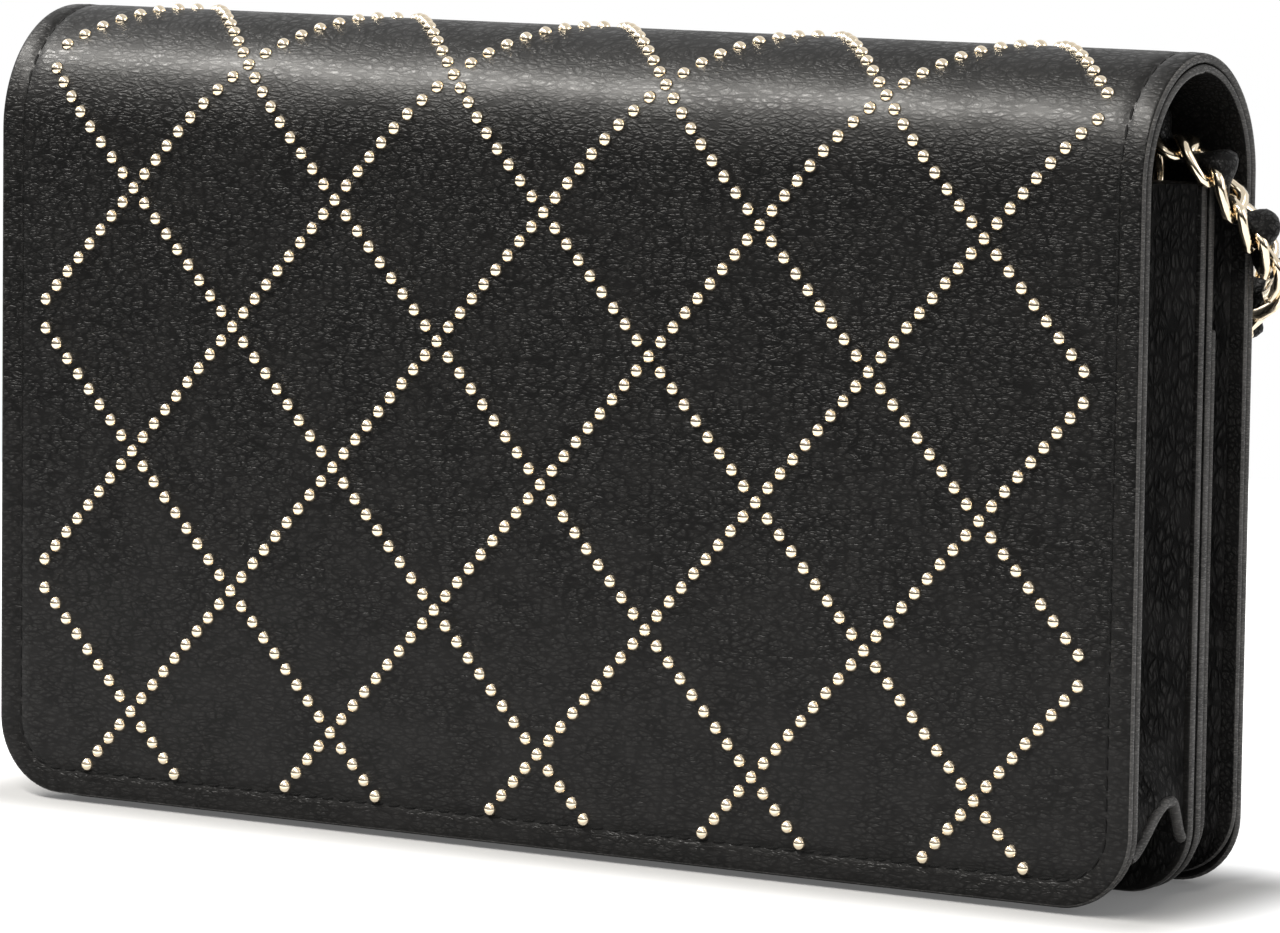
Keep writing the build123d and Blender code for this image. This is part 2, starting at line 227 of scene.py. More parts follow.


# %% [markdown]
# Goat leather has a fine skin of small cells with cracks between them. On this wallet the cracks run
# level, as long shallow creases, and the skin is pressed smooth in patches. Two cell patterns of
# different length are laid over each other, wandered by noise, and faded by a broad noise, so that no
# patch repeats. Only height, colour and roughness change over the surface. The cracks are painted
# darker than the skin, as painted shade in them.

# %% Leathers
def leather(name, tone, crease, roughness=0.34, depth=0.10, coat=0.28, open_top=True, painted_crack_shade=0.04):
    """crease: how long a crease runs in x, y and z, in millimetres. The last argument is the share of the tone
    left in the cracks, which paints shade into them.
    """
    skin = Finish(name)
    across, deep, up = crease
    long_cracks = skin.cells(skin.warped(skin.place(across, deep, up), 0.9, 0.55)).step(0.02, 0.24)
    short_place = skin.warped(skin.place(across * 0.45, deep * 0.45, up * 0.66), 0.8, 0.7)
    short_cracks = skin.cells(short_place).step(0.0, 0.30)
    patches = skin.noise(skin.place(9, 9, 6), 1.0, 2.0).step(0.34, 0.62)
    fine = skin.noise(skin.place(0.3, 0.3, 0.22), 1.0, 3.0, 0.6)
    plate = long_cracks * (0.35 + short_cracks * 0.65)
    deepness = 0.7 + patches * 0.3
    if open_top:
        deepness = deepness * (1 - skin.up().step(AXIS_Z + 3 * MM, AXIS_Z + 12 * MM) * 0.35)
        deepness = deepness * (0.62 + skin.up().step(15 * MM, 75 * MM) * 0.38)
    plate = 1 - (1 - plate) * deepness
    grain = plate + fine * 0.22
    broad = skin.noise(skin.place(26, 26, 17), 1.0, 1.0)
    normal = skin.relief(grain, depth * MM, 1.0, skin.relief(broad, 0.9 * MM, 0.5))
    wear_and_crack_shade = (plate ** 1.3 * (0.7 + fine * 0.55)).clamped()
    # Painted shade: the cracks keep only a share of the tone, so they are darker than the smooth skin between
    # them.
    colour = skin.mix(wear_and_crack_shade, grey(tone * painted_crack_shade, 0.02), grey(tone, 0.05))
    rough = roughness + 0.20 - wear_and_crack_shade * 0.22 + (fine - 0.5) * 0.12
    return skin.set(Base_Color=colour, Roughness=rough, Normal=normal, Coat_Weight=wear_and_crack_shade * coat,
                    Coat_Roughness=0.33, Specular_IOR_Level=0.1)


flap_leather = leather("flap_leather", 0.005, (2.1, 2.1, 0.72))
panel_leather = leather("panel_leather", 0.014, (2.0, 2.0, 0.7), 0.42, 0.07, 0.1)
# The turned edges' finish is far lighter than the flap's: partly their own edge colour, partly a painted
# highlight along the rims.
edge_leather_with_painted_highlight = leather("edge_leather_with_painted_highlight", 0.07, (1.6, 1.6, 0.4), 0.34, 0.05, 0.4, False, 0.5)
bellows_leather = leather("bellows_leather", 0.013, (1.1, 1.1, 2.6), 0.5, 0.3, 0.12, False)
lining_leather = leather("lining_leather", 0.010, (1.0, 1.0, 1.0), 0.48, 0.08, 0.15, False)
lace_leather = leather("lace_leather", 0.009, (0.9, 0.9, 0.9), 0.42, 0.12, 0.35, False)
print("leathers from", flap_leather.name, "to", lace_leather.name)

# %% [markdown]
# The metal is plated in a pale champagne gold and polished. It gets its look from what it mirrors, so
# the roughness stays low and only a faint haze and very shallow hand marks change over it.

# %% Metals, thread and cloth
def gold(name, roughness):
    metal = Finish(name)
    haze = metal.noise(metal.place(1.5, 1.5, 1.5), 1.0, 2.0)
    marks = metal.noise(metal.place(0.2, 0.2, 0.2), 1.0, 1.0)
    tint = metal.mix(haze, (0.87, 0.73, 0.53, 1), (0.92, 0.80, 0.62, 1))
    return metal.set(Base_Color=tint, Metallic=1.0, Roughness=roughness + haze * 0.05,
                     Normal=metal.relief(marks, 0.004 * MM, 0.4))


def thread(name):
    yarn = Finish(name)
    twist = yarn.node("ShaderNodeTexWave", {"bands_direction": "DIAGONAL"},
                      {"Vector": yarn.place(0.5, 0.5, 0.5), "Scale": 1.0, "Distortion": 1.0})
    return yarn.set(Base_Color=yarn.mix(twist, grey(0.001), grey(0.005)), Roughness=0.65 + twist * 0.15,
                    Normal=yarn.relief(twist, 0.05 * MM, 0.7), Specular_IOR_Level=0.1)


def woven(name, tone, pitch):
    cloth = Finish(name)
    along = cloth.node("ShaderNodeTexWave", {"bands_direction": "X"},
                       {"Vector": cloth.place(pitch, pitch, pitch), "Scale": 0.31})
    across = cloth.node("ShaderNodeTexWave", {"bands_direction": "Z"},
                        {"Vector": cloth.place(pitch, pitch, pitch), "Scale": 0.31})
    ribs = along * 0.6 + across
    return cloth.set(Base_Color=cloth.mix(ribs * 0.6, grey(tone * 0.5), grey(tone)),
                     Roughness=0.8 - ribs * 0.05, Sheen_Weight=0.2,
                     Normal=cloth.relief(ribs, 0.12 * MM, 0.6))


polished_gold = gold("polished_gold", 0.10)
black_thread = thread("black_thread")
lining_cloth = woven("lining_cloth", 0.02, 0.5)
zip_cloth = woven("zip_cloth", 0.016, 0.35)
board_grey = woven("board", 0.09, 0.3)


# %% [markdown]
# Small helpers for working in edit mode without a window: everything is deselected first, and parts of
# the mesh are picked by a test on their place or normal.

# %% Picking and shaping
def nothing_selected():
    if bpy.context.mode != "OBJECT":
        bpy.ops.object.mode_set(mode="OBJECT")
    bpy.ops.object.select_all(action="DESELECT")


def pick(kind, test):
    """In edit mode: selects the vertices, edges or faces that pass the test, and nothing else."""
    mesh = bpy.context.edit_object.data
    bpy.ops.mesh.select_mode(type=kind)
    bpy.ops.mesh.select_all(action="DESELECT")
    shape = bmesh.from_edit_mesh(mesh)
    items = {"VERT": shape.verts, "EDGE": shape.edges, "FACE": shape.faces}[kind]
    found = 0
    for item in items:
        if test(item):
            item.select_set(True)
            found += 1
    shape.select_flush_mode()
    bmesh.update_edit_mesh(mesh)
    return found


def middle(edge):
    return (edge.verts[0].co + edge.verts[1].co) / 2


def settle(piece, name, material, smooth=40):
    """Leaves edit mode, puts the place in the mesh and gives the piece its name and finish."""
    if bpy.context.mode != "OBJECT":
        bpy.ops.object.mode_set(mode="OBJECT")
    bpy.ops.object.transform_apply(location=True, rotation=True, scale=True)
    piece.name = name
    piece.data.name = name
    piece.data.materials.clear()
    piece.data.materials.append(material)
    bpy.ops.object.shade_smooth_by_angle(angle=math.radians(smooth))
    return piece


def apply_modifier(piece, kind, **settings):
    made = piece.modifiers.new(kind.lower(), kind)
    for key, value in settings.items():
        setattr(made, key, value)
    bpy.context.view_layer.objects.active = piece
    bpy.ops.object.modifier_apply(modifier=made.name)


def sheet_outline(left, right, bottom, top, y, corner):
    """Edit mode: an upright rectangle facing -Y with rounded lower corners."""
    nothing_selected()
    spot = ((left + right) / 2, y, (bottom + top) / 2)
    bpy.ops.mesh.primitive_plane_add(size=1, location=spot, rotation=(math.pi / 2, 0, 0))
    piece = bpy.context.object
    piece.scale = (right - left, top - bottom, 1)
    bpy.ops.object.transform_apply(location=True, rotation=True, scale=True)
    bpy.ops.object.mode_set(mode="EDIT")
    pick("VERT", lambda v: v.co.z < bottom + 1e-5)
    bpy.ops.mesh.bevel(offset=corner, segments=12, affect="VERTICES", profile=0.5)
    return piece


def turn_edges(radius):
    """Edit mode: rounds the sharp edges, as leather turned over an edge is round."""
    pick("EDGE", lambda e: len(e.link_faces) == 2 and e.calc_face_angle(0) > 0.9)
    bpy.ops.mesh.bevel(offset=radius, segments=3, profile=0.5, affect="EDGES", clamp_overlap=True)


def finish_edges(piece, material, axis_z=None):
    """Gives the turned edges their own, lighter finish, partly their own edge colour and partly a painted
    highlight: faces that look along the sheet and not out of it.
    """
    piece.data.materials.append(material)
    for face in piece.data.polygons:
        out = Vector((0, 1, 0))
        if axis_z is not None and face.center.z > axis_z:
            out = Vector((0, face.center.y, face.center.z - axis_z)).normalized()
        if abs(face.normal.dot(out)) < 0.8:
            face.material_index = 1


def replicate(name, unit, places, material, smooth=40):
    """One joined piece with a copy of unit's mesh at each matrix."""
    points = [v.co.copy() for v in unit.data.vertices]
    faces = [tuple(p.vertices) for p in unit.data.polygons]
    all_points, all_faces = [], []
    for place in places:
        base = len(all_points)
        all_points += [place @ p for p in points]
        all_faces += [tuple(base + i for i in face) for face in faces]
    mesh = bpy.data.meshes.new(name)
    mesh.from_pydata(all_points, [], all_faces)
    piece = bpy.data.objects.new(name, mesh)
    bpy.context.scene.collection.objects.link(piece)
    bpy.data.objects.remove(unit)
    nothing_selected()
    piece.select_set(True)
    bpy.context.view_layer.objects.active = piece
    return settle(piece, name, material, smooth)


def mesh_piece(name, points, faces, material, smooth=60):
    mesh = bpy.data.meshes.new(name)
    mesh.from_pydata([tuple(p) for p in points], [], faces)
    piece = bpy.data.objects.new(name, mesh)
    bpy.context.scene.collection.objects.link(piece)
    nothing_selected()
    piece.select_set(True)
    bpy.context.view_layer.objects.active = piece
    bpy.ops.object.mode_set(mode="EDIT")
    bpy.ops.mesh.select_all(action="SELECT")
    bpy.ops.mesh.normals_make_consistent(inside=False)
    return settle(piece, name, material, smooth)


def facing(origin, normal, along):
    """Matrix that stands a copy on a surface: its z on the normal, its x along."""
    z = normal.normalized()
    x = (along - z * along.dot(z)).normalized()
    y = z.cross(x)
    return Matrix.Translation(origin) @ Matrix((x, y, z)).transposed().to_4x4()


# %% [markdown]
# The flap is one sheet that starts at the lower edge, climbs the front and rolls over the top. It is
# drawn flat, its lower corners are rounded with a vertex bevel, and the top edge is spun about the
# roll's axis. The sheet runs a little past the top, so that insets run along the two sides only, and the
# surplus is cut off with bisect. Each inset sinks or lifts a rim: a crowned edge, then the groove that
# the seam pulls into the leather.

# %% Rolled sheets
SEAM_IN = 3.9 * MM                       # seam's distance from the edge
RIM = [(0.8, 0.10), (1.2, 0.06), (1.35, -0.06), (0.35, -0.26), (0.30, 0.0), (0.45, 0.24), (1.6, 0.06)]
SURPLUS = 9 * MM                         # run past the top, cut off again


def rolled_sheet(name, side, half, bottom, radius, ply, corner, rim, edge, material):
    """side is -1 for the front sheet and 1 for the back one; both end on top, in the middle."""
    piece = sheet_outline(-half, half, bottom, AXIS_Z, side * radius, corner)
    pick("EDGE", lambda e: middle(e).z > AXIS_Z - 1e-5 and abs(middle(e).x) < half / 2)
    bpy.ops.mesh.spin(steps=30, angle=-math.radians(90) * side, center=(0, 0, AXIS_Z), axis=(1, 0, 0))
    pick("EDGE", lambda e: abs(middle(e).y) < 1e-5 and middle(e).z > AXIS_Z and abs(middle(e).x) < half / 2)
    bpy.ops.mesh.extrude_region_move(TRANSFORM_OT_translate={"value": (0, -SURPLUS * side, 0)})
    bpy.ops.mesh.select_all(action="SELECT")
    bpy.ops.mesh.remove_doubles(threshold=1e-6)
    bpy.ops.mesh.normals_make_consistent(inside=False)
    widest = max(bmesh.from_edit_mesh(piece.data).faces, key=lambda f: f.calc_area())
    if widest.normal.y * side < 0:
        bpy.ops.mesh.flip_normals()
    bpy.ops.mesh.select_mode(type="FACE")
    for width, lift in rim:
        if width == rim[0][0]:
            bpy.ops.mesh.select_all(action="SELECT")
        bpy.ops.mesh.inset(thickness=width * MM, depth=lift * MM, use_even_offset=True)
    bpy.ops.object.mode_set(mode="OBJECT")
    apply_modifier(piece, "SOLIDIFY", thickness=ply, offset=-1.0, use_even_offset=True)
    bpy.ops.object.mode_set(mode="EDIT")
    turn_edges(edge)
    bpy.ops.mesh.select_all(action="SELECT")
    bpy.ops.mesh.bisect(plane_co=(0, 0, 0), plane_no=(0, -side, 0), use_fill=True, clear_outer=True)
    return settle(piece, name, material)


front_leather = rolled_sheet("flap_leather_front", -1, HALF, FLAP_BOTTOM, ROLL, OUTER_PLY, CORNER,
                             RIM, 0.6 * MM, flap_leather)
back_leather = rolled_sheet("back_leather", 1, HALF - 0.5 * MM, 0.0, ROLL, OUTER_PLY, PANEL_CORNER,
                            RIM, 0.6 * MM, flap_leather)
INNER = ROLL - OUTER_PLY - GAP
front_lining = rolled_sheet("flap_lining_front", -1, HALF - 0.1 * MM, FLAP_BOTTOM + 0.1 * MM, INNER,
                            LINING_PLY - GAP, CORNER, [], 0.55 * MM, lining_leather)
back_lining = rolled_sheet("back_lining_sheet", 1, HALF - 0.6 * MM, 1.4 * MM, INNER, 1.15 * MM, PANEL_CORNER,
                           [], 0.5 * MM, lining_leather)
for sheet in (front_leather, back_leather, front_lining, back_lining):
    finish_edges(sheet, edge_leather_with_painted_highlight, AXIS_Z)
print("sheets", [len(p.data.polygons) for p in (front_leather, back_leather, front_lining, back_lining)])

# %% [markdown]
# Leather can't be rigid where the flap folds, but here no sheet is made to bend: the front sheets and
# the back ones only have their places baked into their meshes.


def on_roll(side, angle, radius=ROLL):
    return Vector((0, side * radius * math.cos(angle), AXIS_Z + radius * math.sin(angle)))


def bends_in_front(piece):
    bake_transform(piece)


def bends_behind(piece):
    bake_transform(piece)


# %% [markdown]
# The lining has a long window for the zip of the flat pocket behind it. A box is turned to face the zip,
# and a boolean cuts it out of the lining.

# %% Zip's window
ZIP_ANGLE = math.radians(15)             # above level, inside the roll
tape_low, tape_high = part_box("zip_tape")
nothing_selected()
bpy.ops.mesh.primitive_cube_add(size=1, location=on_roll(-1, ZIP_ANGLE, INNER - 1.4 * MM))
cutter = bpy.context.object
cutter.scale = (tape_high.x - tape_low.x + 4 * MM, 6 * MM, 7 * MM)
cutter.rotation_euler = (-ZIP_ANGLE, 0, 0)
bpy.ops.object.transform_apply(location=True, rotation=True, scale=True)
apply_modifier(front_lining, "BOOLEAN", operation="DIFFERENCE", object=cutter, solver="EXACT")
bpy.data.objects.remove(cutter)
print("lining with its window", len(front_lining.data.polygons), "faces")


# %% [markdown]
# The seam runs 4 mm inside the edge, over the roll as well. Every stitch is one short, thick thread end
# to end, laid in the groove at a slight slant. The seam's line is worked out on the flat sheet, as
# distance across and height along the leather, and on_leather() rolls any such point round the top.

# %% Seams
def on_leather(across, along, radius, side=-1):
    """Point and outward normal on the rolled sheet, from a place on the flat leather."""
    angle = max(0.0, along - AXIS_Z) / radius
    z = min(along, AXIS_Z) + radius * math.sin(angle)
    point = Vector((across, side * radius * math.cos(angle), z))
    return point, Vector((0, side * math.cos(angle), math.sin(angle)))


def seam_line(half, bottom, corner, inset, top):
    """Flat seam from the top on the right, round the lower edge, to the top on the left: (place, way)."""
    half, bottom, radius = half - inset, bottom + inset, corner - inset
    side = top - (bottom + radius)
    turn = radius * math.pi / 2
    base = 2 * (half - radius)
    total = 2 * side + 2 * turn + base

    def at(s):
        if s < side:
            return Vector((half, top - s)), Vector((0, -1))
        if s < side + turn:
            a = (s - side) / radius
            spot = Vector((half - radius + radius * math.cos(a), bottom + radius - radius * math.sin(a)))
            return spot, Vector((-math.sin(a), -math.cos(a)))
        if s < side + turn + base:
            return Vector((half - radius - (s - side - turn), bottom)), Vector((-1, 0))
        spot, way = at(total - s)
        return Vector((-spot.x, spot.y)), Vector((way.x, -way.y))
    return at, total


STITCH_PITCH = 2.9 * MM
STITCH_LONG = 2.25 * MM
STITCH_THICK = 0.55 * MM
STITCH_SLANT = math.radians(7)
STITCH_SUNK = 0.2 * MM                   # into the groove
SEAM_END = 1.2 * MM                      # short of the middle of the top


def one_stitch():
    nothing_selected()
    bpy.ops.mesh.primitive_uv_sphere_add(segments=8, ring_count=6, radius=0.5, rotation=(0, math.pi / 2, 0))
    stitch = bpy.context.object
    bpy.ops.object.transform_apply(rotation=True)
    stitch.scale = (STITCH_LONG, STITCH_THICK, STITCH_THICK * 0.8)
    bpy.ops.object.transform_apply(scale=True)
    return stitch


def stitches(name, line, total, stand):
    """Stitches along a seam line. stand turns a flat place and way into a point, a normal and a way."""
    count = int(total / STITCH_PITCH)
    slant = Matrix.Rotation(STITCH_SLANT, 4, "Z")
    flat_places = [line((number + 0.5) * total / count) for number in range(count)]
    places = [facing(*stand(spot, way)) @ slant for spot, way in flat_places]
    return replicate(name, one_stitch(), places, black_thread)


def rolled_seam(name, side, half, bottom, corner):
    """Stitches in the groove of a rolled sheet, from the top in the middle all round its edge."""
    def stand(spot, way):
        point, normal = on_leather(spot.x, spot.y, ROLL, side)
        ahead, _ = on_leather(spot.x + way.x * MM, spot.y + way.y * MM, ROLL, side)
        return point - normal * STITCH_SUNK, normal, ahead - point

    top = AXIS_Z + ROLL * math.pi / 2 - SEAM_END
    return stitches(name, *seam_line(half, bottom, corner, SEAM_IN, top), stand)


flap_seam = rolled_seam("flap_seam", -1, HALF, FLAP_BOTTOM, CORNER)
back_seam = rolled_seam("back_seam", 1, HALF - 0.5 * MM, 0.0, PANEL_CORNER)
for piece in (front_leather, front_lining, flap_seam):
    bends_in_front(piece)
for piece in (back_leather, back_lining, back_seam):
    bends_behind(piece)
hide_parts("flap_outer", "flap_top_outer")
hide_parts("flap_lining", "flap_top_lining")
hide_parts("back_panel")
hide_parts("back_lining")
print("seams", len(flap_seam.data.polygons), "and", len(back_seam.data.polygons), "faces")

# %% [markdown]
# The studs are domed heads on prongs, pressed through the leather in two crossing families of diagonal
# rows. Nine steps lead from crossing to crossing. One head is made from a sphere cut low, with a small
# foot that sinks into the leather, and is copied to every place of the lattice.

# %% Studs
STEPS = 9
STEP_X, STEP_UP = 17.9 * MM / STEPS, 19.63 * MM / STEPS
ROW_Z = 93.2 * MM                        # crossings just under the roll
LAST_COLUMN = 5 * STEPS
FIRST_ROW, LAST_ROW = -2 * STEPS, 4 * STEPS + 4
STUD_RADIUS, STUD_HIGH = 1.03 * MM, 0.95 * MM


def one_stud():
    nothing_selected()
    bpy.ops.mesh.primitive_uv_sphere_add(segments=16, ring_count=12, radius=STUD_RADIUS,
                                         location=(0, 0, STUD_HIGH - STUD_RADIUS))
    stud = bpy.context.object
    bpy.ops.object.transform_apply(location=True)
    bpy.ops.object.mode_set(mode="EDIT")
    bpy.ops.mesh.select_all(action="SELECT")
    bpy.ops.mesh.bisect(plane_co=(0, 0, -0.02 * MM), plane_no=(0, 0, 1), clear_inner=True)
    pick("EDGE", lambda e: e.is_boundary)
    bpy.ops.mesh.extrude_region_move(TRANSFORM_OT_translate={"value": (0, 0, -0.25 * MM)})
    bpy.ops.mesh.edge_face_add()
    bpy.ops.object.mode_set(mode="OBJECT")
    return stud


stud_places = []
for row in range(FIRST_ROW, LAST_ROW + 1):
    for column in range(1 - LAST_COLUMN, LAST_COLUMN):
        crossing = [(column + LAST_COLUMN + way * row) % (2 * STEPS) == STEPS for way in (-1, 1)]
        if any(crossing):
            spot, normal = on_leather(column * STEP_X, ROW_Z - row * STEP_UP, ROLL)
            stud_places.append(facing(spot, normal, Vector((1, 0, 0))))
studs = replicate("studs", one_stud(), stud_places, polished_gold, 50)
bends_in_front(studs)
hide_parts("flap_studs", "flap_top_studs")
print("studs", len(stud_places), "with", len(studs.data.polygons), "faces")

# %% [markdown]
# The panels inside are flat sheets with rounded lower corners. Their leather is turned over the edge,
# so every rim is a soft round, never a knife edge. A sheet is drawn, extruded to its ply and its edges
# are bevelled.

# %% Flat panels
PANEL_SEAM_TOP = 2 * MM                  # bare leather above the seam


def flat_panel(node, material, corner, edge):
    """A sheet with the frame's own size and ply: corner rounds its foot, edge its rim."""
    low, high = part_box(node)
    piece = sheet_outline(low.x, high.x, low.z, high.z, low.y, corner)
    bpy.ops.object.mode_set(mode="OBJECT")
    apply_modifier(piece, "SOLIDIFY", thickness=high.y - low.y, offset=-1.0, use_even_offset=True)
    bpy.ops.object.mode_set(mode="EDIT")
    turn_edges(edge)
    settle(piece, node + "_sheet", material)
    if material in (panel_leather, flap_leather):
        finish_edges(piece, edge_leather_with_painted_highlight)
    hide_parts(node)
    return piece


def panel_seam(name, node, face, inset):
    """A line of stitches round the sides and foot of a flat panel. face is -1 for its front."""
    low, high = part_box(node)
    y = low.y if face < 0 else high.y

    def stand(spot, way):
        return Vector((spot.x, y, spot.y)), Vector((0, face, 0)), Vector((way.x, 0, way.y))

    return stitches(name, *seam_line(high.x, low.z, PANEL_CORNER, inset, high.z - PANEL_SEAM_TOP), stand)


on_body = []
for node in ("divider_front", "divider_rear", "divider_slip_pocket"):
    on_body.append(flat_panel(node, panel_leather, PANEL_CORNER, 0.55 * MM))
on_body.append(flat_panel("divider_board", board_grey, PANEL_CORNER, 0.2 * MM))
on_body.append(flat_panel("card_backing", lining_leather, 1 * MM, 0.3 * MM))
for side in ("left", "right"):
    for number in (1, 2, 3):
        on_body.append(flat_panel(f"card_slot_{side}_{number}", panel_leather, 1 * MM, 0.35 * MM))
on_body.append(flat_panel("rear_pocket", flap_leather, PANEL_CORNER, 0.5 * MM))
on_body.append(panel_seam("rear_pocket_seam", "rear_pocket", 1, 3.2 * MM))
on_front = [flat_panel("front_panel", panel_leather, PANEL_CORNER, 0.55 * MM),
            flat_panel("front_lining", lining_cloth, PANEL_CORNER, 0.3 * MM),
            panel_seam("front_panel_seam", "front_panel", -1, 2.4 * MM)]
for piece in on_body:
    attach(piece, "body")
for piece in on_front:
    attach(piece, "front")
print("flat panels", len(on_body) + len(on_front))

# %% [markdown]
# A bellows gusset joins the front panel to the divider. It is one long strip that runs down one side,
# round the corner, along the foot and up the other side, and its section is a V folded inwards. The
# strip is a grid of points: one way along the panel's outline, the other across the V. Its leather is
# thin and crinkled by folding, so it gets real wrinkles that run along it.

# %% Bellows
def eased(value):
    value = min(max(value, 0.0), 1.0)
    return value * value * (3 - 2 * value)


def lip_height(t, bottom, lip):
    """The lip climbs from the front panel, is highest near the divider and drops to it."""
    return bottom + lip - 6.5 * MM * (1 - eased(t / 0.7)) - 5.5 * MM * eased((t - 0.78) / 0.2)


def bellows_depth(t, spot, half, bottom, fold, lip):
    """How far inward the strip lies. t goes across it, 0 at the front panel and 1 at the divider."""
    vee = 1 - (math.sqrt((2 * t - 1) ** 2 + 0.02) - math.sqrt(0.02)) / (math.sqrt(1.02) - math.sqrt(0.02))
    low_side = lip and spot.y < bottom + lip + 16 * MM and abs(spot.x) > half - 9 * MM
    if not low_side:
        return fold * vee
    above = spot.y - lip_height(t, bottom, lip)
    if above > 0:
        return fold * vee * eased(above / (15 * MM)) + 0.3 * MM
    held = eased(min(t, 1 - t) / 0.14)
    return held * (0.3 * MM + (fold + 0.8 * MM) * eased(-above / (1.6 * MM)))


def bellows(name, half, bottom, top, corner, y0, y1, fold, ply, wrinkle, across=26, step=1.3 * MM, lip=0.0):
    line, total = seam_line(half, bottom, corner, 0.0, top)
    rows = int(total / step)
    points, faces = [], []
    for row in range(rows + 1):
        s = min(row * total / rows, total - 1e-7)
        spot, way = line(s)
        inward = Vector((way.y, -way.x))
        for column in range(across + 1):
            t = column / across
            crease = noise.noise(Vector((s * 45, t * 16, fold * 900))) * wrinkle * math.sin(math.pi * t)
            flat = spot + inward * (bellows_depth(t, spot, half, bottom, fold, lip) + crease)
            points.append((flat.x, y0 + (y1 - y0) * t, flat.y))
    for row in range(rows):
        for column in range(across):
            a = row * (across + 1) + column
            faces.append((a, a + 1, a + across + 2, a + across + 1))
    piece = mesh_piece(name, points, faces, bellows_leather)
    apply_modifier(piece, "SOLIDIFY", thickness=ply, offset=0.0, thickness_clamp=1.0)
    return settle(piece, name, bellows_leather, 60)


FRONT_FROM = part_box("front_lining")[1].y             # front compartment, from the front panel
FRONT_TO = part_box("divider_front")[0].y              # to the divider
REAR_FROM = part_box("divider_slip_pocket")[1].y       # rear compartment, from the divider's pocket
REAR_TO = 15.4 * MM                                  # to the back
gusset_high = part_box("gusset_front_right")[1]
LIP = 13 * MM
FOOT = 1.2 * MM
front_bellows = bellows("front_bellows", gusset_high.x, FOOT, gusset_high.z, 9.2 * MM,
                        FRONT_FROM, FRONT_TO, 8 * MM, 1.0 * MM, 0.9 * MM,
                        step=1.0 * MM, lip=LIP)
rear_bellows = bellows("rear_bellows", gusset_high.x, 1.4 * MM, gusset_high.z - 1 * MM, 9 * MM,
                       REAR_FROM, REAR_TO, 5 * MM, 0.8 * MM, 0.4 * MM, 16)


def lip_bead(name, side):
    """A rounded bead of turned leather along the lip in the corner."""
    steps, around, thick = 40, 10, 0.85 * MM
    line = []
    for step in range(steps + 1):
        t = 0.02 + 0.96 * step / steps
        line.append(Vector((side * (gusset_high.x - 0.1 * MM), FRONT_FROM + (FRONT_TO - FRONT_FROM) * t,
                            lip_height(t, FOOT, LIP))))
    points, faces = [], []
    for step, spot in enumerate(line):
        way = (line[min(step + 1, steps)] - line[max(step - 1, 0)]).normalized()
        across = way.cross(Vector((1, 0, 0)))
        for number in range(around):
            angle = 2 * math.pi * number / around
            points.append(spot + Vector((1, 0, 0)) * thick * math.cos(angle) + across * thick * math.sin(angle))
    for step in range(steps):
        for number in range(around):
            a, b = step * around + number, step * around + (number + 1) % around
            faces.append((a, b, b + around, a + around))
    faces.append(tuple(range(around))[::-1])
    faces.append(tuple(steps * around + n for n in range(around)))
    return mesh_piece(name, points, faces, edge_leather_with_painted_highlight)


beads = [lip_bead("corner_lip_right", 1), lip_bead("corner_lip_left", -1)]
for piece in [front_bellows] + beads:
    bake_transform(piece)
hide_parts("gusset_front_left", "gusset_front_right", "floor_front")
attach(rear_bellows, "body")
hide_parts("gusset_rear_left", "gusset_rear_right", "floor_rear")
print("bellows", len(front_bellows.data.polygons), len(rear_bellows.data.polygons))

# %% [markdown]
# The strap is a curb chain with a leather lace woven through it. Its route is listed where it is
# seen, and a loop lays the rest in two long turns behind the wallet. Links and lace both follow one
# smooth NURBS line, read back as points.

# %% Strap's line
RIGHT_STRAND = [
    (84.6, 5.9, 107.6), (87.0, 5.8, 106.4), (91.4, 5.6, 105.0), (95.0, 7.2, 101.0), (96.9, 11.0, 95.4),
    (98.2, 16.6, 90.2), (95.8, 22.8, 85.4), (88.4, 26.2, 81.0), (84.4, 25.8, 66.0), (84.8, 24.8, 45.0),
    (84.0, 25.1, 26.0), (72.0, 27.2, 7.6), (54.6, 29.0, 4.62),
]
LEFT_STRAND = [
    (-84.6, 5.9, 107.6), (-91.5, 4.6, 108.8), (-98.8, 5.0, 105.6), (-100.4, 10.5, 98.0),
    (-100.9, 18.0, 92.6), (-100.5, 25.0, 85.0), (-101.8, 27.6, 70.0), (-104.8, 29.6, 53.0),
    (-105.2, 31.5, 38.4), (-99.4, 33.5, 27.4), (-88.6, 35.6, 21.0), (-83.2, 36.6, 20.8),
]
COIL_RIGHT, COIL_LEFT, COIL_Y = 30.0, -52.0, 63.0
COIL_RADIUS, COIL_TURNS, COIL_INSET, COIL_RISE = 34.0, 2, 4.0, 8.1
FLOOR_LINE = 4.6
ARC_POINTS = 5
RUN_POINTS = (0.12, 0.5, 0.88)           # shares of a straight run
ROUND_OUT = 1.03                         # arc points stand out, because the smooth line cuts inside them


